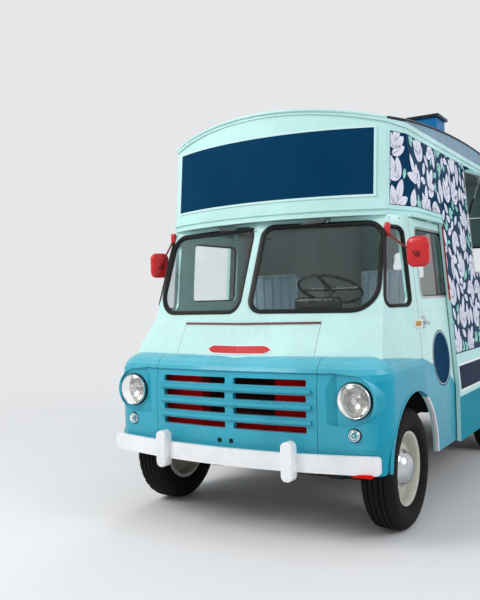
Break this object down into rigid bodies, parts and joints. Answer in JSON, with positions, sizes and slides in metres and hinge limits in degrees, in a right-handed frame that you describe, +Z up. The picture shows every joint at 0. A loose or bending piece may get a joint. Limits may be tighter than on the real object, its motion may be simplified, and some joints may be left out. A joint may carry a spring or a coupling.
{
  "type": "food truck",
  "caption": "Forward-control delivery van turned food truck, with sliding cab doors, an open serving hatch on struts, hinged rear doors, steering and rolling wheels.",
  "frame": {"origin": "on the ground, in the middle of the whole outline with the hatch open", "axes": "+Z up, the front faces -Y and the driver's side with the hatch is +X"},
  "size_m": [2.3562, 4.15, 2.6369],
  "materials": {
    "body_paint": "gloss mint paint",
    "teal_paint": "gloss teal paint",
    "roof_paint": "satin grey-blue paint",
    "vent_paint": "satin blue paint",
    "white_paint": "gloss white paint",
    "red_paint": "gloss red paint",
    "cream_paint": "gloss cream paint",
    "chassis_black": "satin black paint",
    "bright_steel": "brushed",
    "housing_grey": "satin grey paint",
    "strut_black": "satin black",
    "engine_iron": "painted casting",
    "exhaust_steel": "dull and stained",
    "lamp_chrome": "polished",
    "lamp_red": "moulded lens",
    "clear_glass": "clear",
    "tyre_rubber": "worn black",
    "floor_ply": "sealed plywood on steel",
    "seat_vinyl": "vinyl",
    "dash_paint": "satin paint",
    "black_plastic": "moulded"
  },
  "bodies": {
    "truck": {"bumper_front": "white_paint", "bumper_rear": "white_paint", "cab_front": "body_paint", "cab_glass": "clear_glass", "chassis": "chassis_black", "counter": "bright_steel", "dashboard": "dash_paint", "door_tracks": "bright_steel", "engine": "engine_iron", "exhaust": "exhaust_steel", "fender_left": "teal_paint", "fender_right": "teal_paint", "floor": "floor_ply", "front_axle": "chassis_black", "front_lamps": "lamp_chrome", "fuel_tank": "chassis_black", "header": "body_paint", "mirrors": "red_paint", "nose_panel": "teal_paint", "radiator": "chassis_black", "rear_axle": "chassis_black", "rear_frame": "body_paint", "roof": "roof_paint", "roof_vent": "vent_paint", "seats": "seat_vinyl", "side_left": "body_paint", "side_right": "body_paint", "springs": "chassis_black", "steering_column": "chassis_black", "tail_lamps": "lamp_red", "wheel_housings": "housing_grey"},
    "knuckle_left": {"knuckle_left": "chassis_black"},
    "knuckle_right": {"knuckle_right": "chassis_black"},
    "wheel_front_left": {"tyre_front_left": "tyre_rubber", "wheel_front_left": "cream_paint"},
    "wheel_front_right": {"tyre_front_right": "tyre_rubber", "wheel_front_right": "cream_paint"},
    "wheel_rear_left": {"tyre_rear_left": "tyre_rubber", "wheel_rear_left": "cream_paint"},
    "wheel_rear_right": {"tyre_rear_right": "tyre_rubber", "wheel_rear_right": "cream_paint"},
    "door_left": {"door_left": "body_paint", "door_glass_left": "clear_glass"},
    "door_right": {"door_right": "body_paint", "door_glass_right": "clear_glass"},
    "rear_door_left": {"rear_door_left": "body_paint", "rear_glass_left": "clear_glass"},
    "rear_door_right": {"rear_door_right": "body_paint", "rear_glass_right": "clear_glass"},
    "hatch": {"hatch": "body_paint"},
    "strut_tubes": {"strut_tubes": "strut_black"},
    "strut_rods": {"strut_rods": "bright_steel"},
    "steering_wheel": {"steering_wheel": "black_plastic"},
    "track_rod": {"track_rod": "chassis_black"}
  },
  "joints": [
    {"name": "steer_left", "type": "hinge", "parent": "truck", "child": "knuckle_left", "pos_m": [0.32088, -1.445, 0.325], "axis": [0, 0, 1], "range_deg": [-30, 30]},
    {"name": "steer_right", "type": "hinge", "parent": "truck", "child": "knuckle_right", "pos_m": [-0.89912, -1.445, 0.325], "axis": [0, 0, 1], "range_deg": [-30, 30]},
    {"name": "steering_wheel_turn", "type": "hinge", "parent": "truck", "child": "steering_wheel", "pos_m": [0.04588, -1.365, 1.305], "axis": [0, 0.4226, 0.9063], "range_deg": [-361, 361]},
    {"name": "spin_front_left", "type": "hinge", "parent": "knuckle_left", "child": "wheel_front_left", "pos_m": [0.44588, -1.445, 0.325], "axis": [1, 0, 0], "continuous": true},
    {"name": "spin_front_right", "type": "hinge", "parent": "knuckle_right", "child": "wheel_front_right", "pos_m": [-1.02412, -1.445, 0.325], "axis": [1, 0, 0], "continuous": true},
    {"name": "spin_rear_left", "type": "hinge", "parent": "truck", "child": "wheel_rear_left", "pos_m": [0.44588, 0.841, 0.325], "axis": [1, 0, 0], "continuous": true},
    {"name": "spin_rear_right", "type": "hinge", "parent": "truck", "child": "wheel_rear_right", "pos_m": [-1.02412, 0.841, 0.325], "axis": [1, 0, 0], "continuous": true},
    {"name": "door_left_slide", "type": "slide", "parent": "truck", "child": "door_left", "axis": [0, 1, 0], "range_m": [0, 0.44]},
    {"name": "door_right_slide", "type": "slide", "parent": "truck", "child": "door_right", "axis": [0, 1, 0], "range_m": [0, 0.44]},
    {"name": "rear_door_left_hinge", "type": "hinge", "parent": "truck", "child": "rear_door_left", "pos_m": [0.31088, 1.994, 1], "axis": [0, 0, 1], "range_deg": [-100, 0]},
    {"name": "rear_door_right_hinge", "type": "hinge", "parent": "truck", "child": "rear_door_right", "pos_m": [-0.88912, 1.994, 1], "axis": [0, 0, 1], "range_deg": [0, 100]},
    {"name": "hatch_lid", "type": "hinge", "parent": "truck", "child": "hatch", "pos_m": [0.48628, 0.66, 2.159], "axis": [0, 1, 0], "range_deg": [0, 65.42]},
    {"name": "strut_tube_turn", "type": "hinge", "parent": "truck", "child": "strut_tubes", "pos_m": [0.46528, 0.66, 1.725], "axis": [0, 1, 0], "range_deg": [-24.23, 0]},
    {"name": "strut_rod_slide", "type": "slide", "parent": "strut_tubes", "child": "strut_rods", "axis": [0.3189, 0, 0.9478], "range_m": [-0.04459, 0]},
    {"name": "track_rod_slide", "type": "slide", "parent": "truck", "child": "track_rod", "axis": [1, 0, 0], "range_m": [-0.062, 0.062]}
  ],
  "couplings": [
    {"joint": "steer_right", "follows": "steer_left", "ratio": 1},
    {"joint": "steering_wheel_turn", "follows": "steer_left", "ratio": 12},
    {"joint": "track_rod_slide", "follows": "steer_left", "m_per_rad": -0.11268},
    {"joint": "strut_tube_turn", "follows": "hatch_lid", "ratio": -0.36668},
    {"joint": "strut_rod_slide", "follows": "hatch_lid", "m_per_rad": -0.038667}
  ]
}
